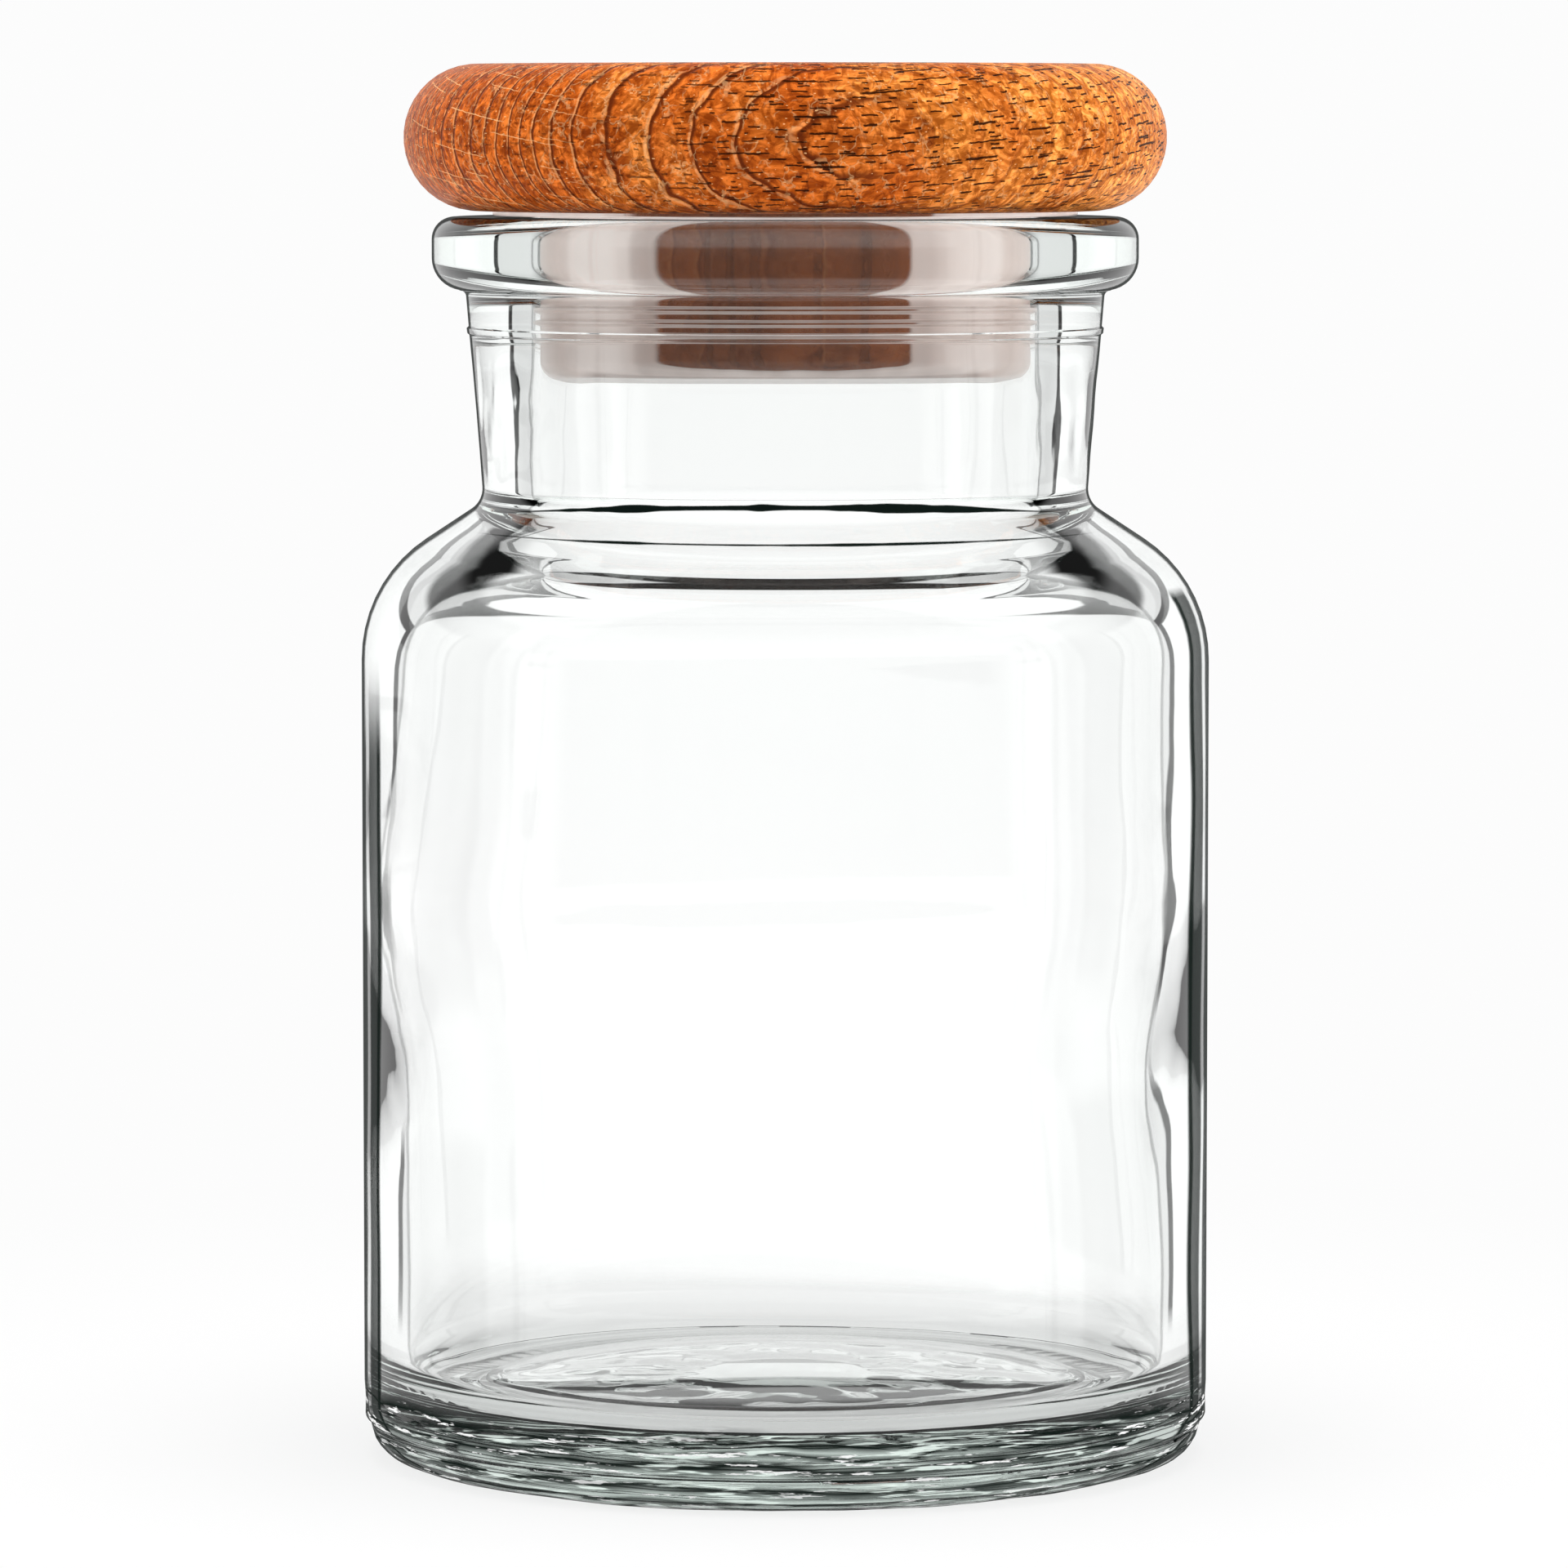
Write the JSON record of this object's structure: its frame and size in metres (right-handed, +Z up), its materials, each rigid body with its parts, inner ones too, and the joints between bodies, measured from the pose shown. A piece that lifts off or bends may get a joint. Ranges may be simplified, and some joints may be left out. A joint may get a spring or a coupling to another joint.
{
  "type": "spice jar",
  "caption": "Clear glass spice jar with a short neck and a beaded rim, closed by a round-edged wooden lid whose core sits in a soft ribbed stopper.",
  "frame": {"origin": "centre of the jar's base, on the plane that it stands on", "axes": "+Z up along the jar's axis, from the base to the lid; the jar is round, so +X and +Y are free"},
  "size_m": [0.061, 0.061, 0.1002],
  "materials": {
    "glass": "clear, glossy, faint grey-green where thick",
    "silicone": "milky, half-gloss",
    "oak": "oiled, satin"
  },
  "bodies": {
    "jar": {"glass_jar": "glass"},
    "stopper": {"stopper_cup": "silicone"},
    "lid": {"lid_core": "oak", "lid_disc": "oak"}
  },
  "joints": [
    {"name": "lid_lift", "type": "slide", "parent": "jar", "child": "stopper", "axis": [0, 0, 1], "range_m": [0, 0.06]},
    {"name": "lid_turn", "type": "hinge", "parent": "stopper", "child": "lid", "pos_m": [0, 0, 0.09015], "axis": [0, 0, 1], "continuous": true}
  ]
}
